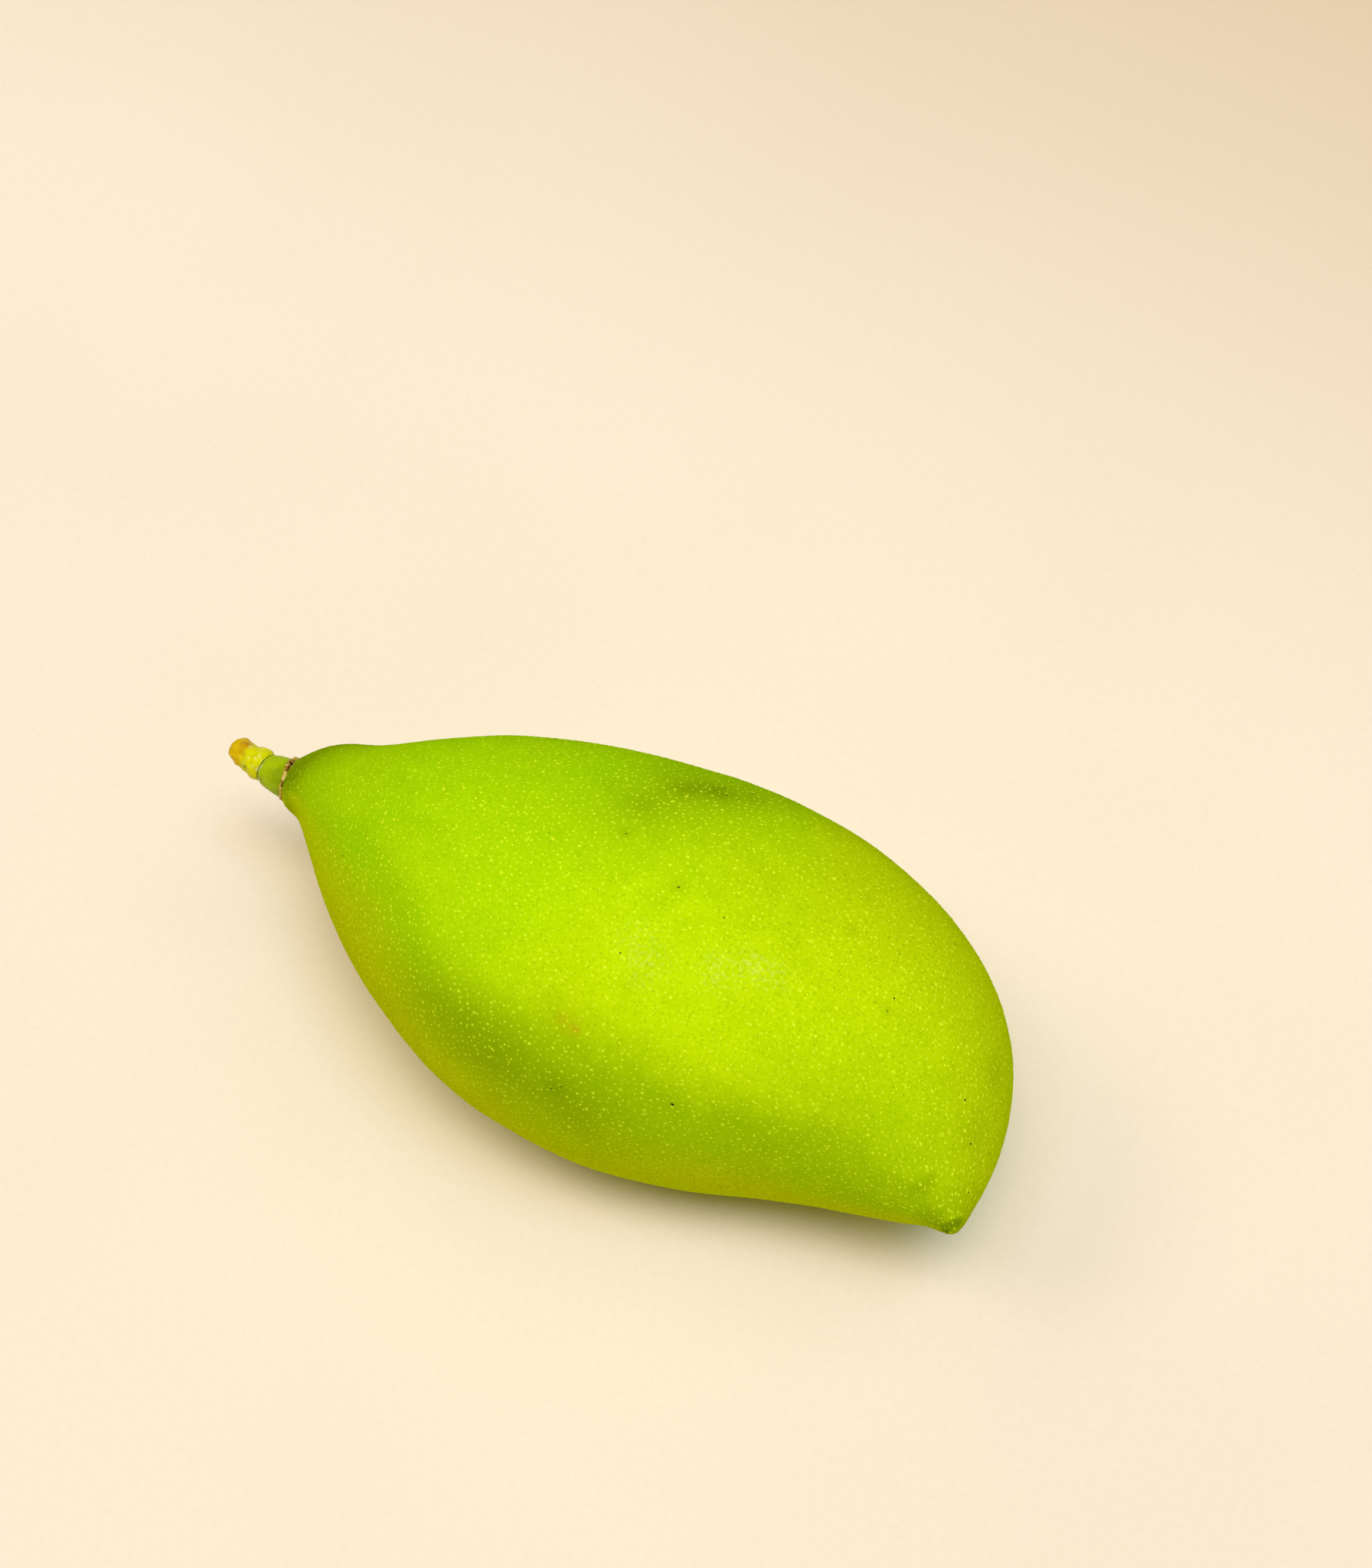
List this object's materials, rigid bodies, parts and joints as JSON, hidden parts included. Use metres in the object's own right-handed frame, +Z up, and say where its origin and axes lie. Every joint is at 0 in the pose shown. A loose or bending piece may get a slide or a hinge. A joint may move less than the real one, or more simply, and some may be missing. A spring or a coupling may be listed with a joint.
{
  "type": "mango",
  "caption": "Green unripe mango with a swollen back, a small blunt beak and a short cut stem, lying on its flatter cheek.",
  "frame": {"origin": "middle of the outline seen from above, on the ground under the fruit", "axes": "+X along the fruit from stem to beak, +Y toward its swollen back, +Z up"},
  "size_m": [0.1542, 0.0746, 0.0636],
  "materials": {
    "skin": "satin waxy fruit skin, yellow-green with pale pores",
    "stem": "fresh green stem, yellow to orange at its cut end"
  },
  "bodies": {
    "root": {"fruit": "skin", "stem": "stem"}
  },
  "joints": []
}
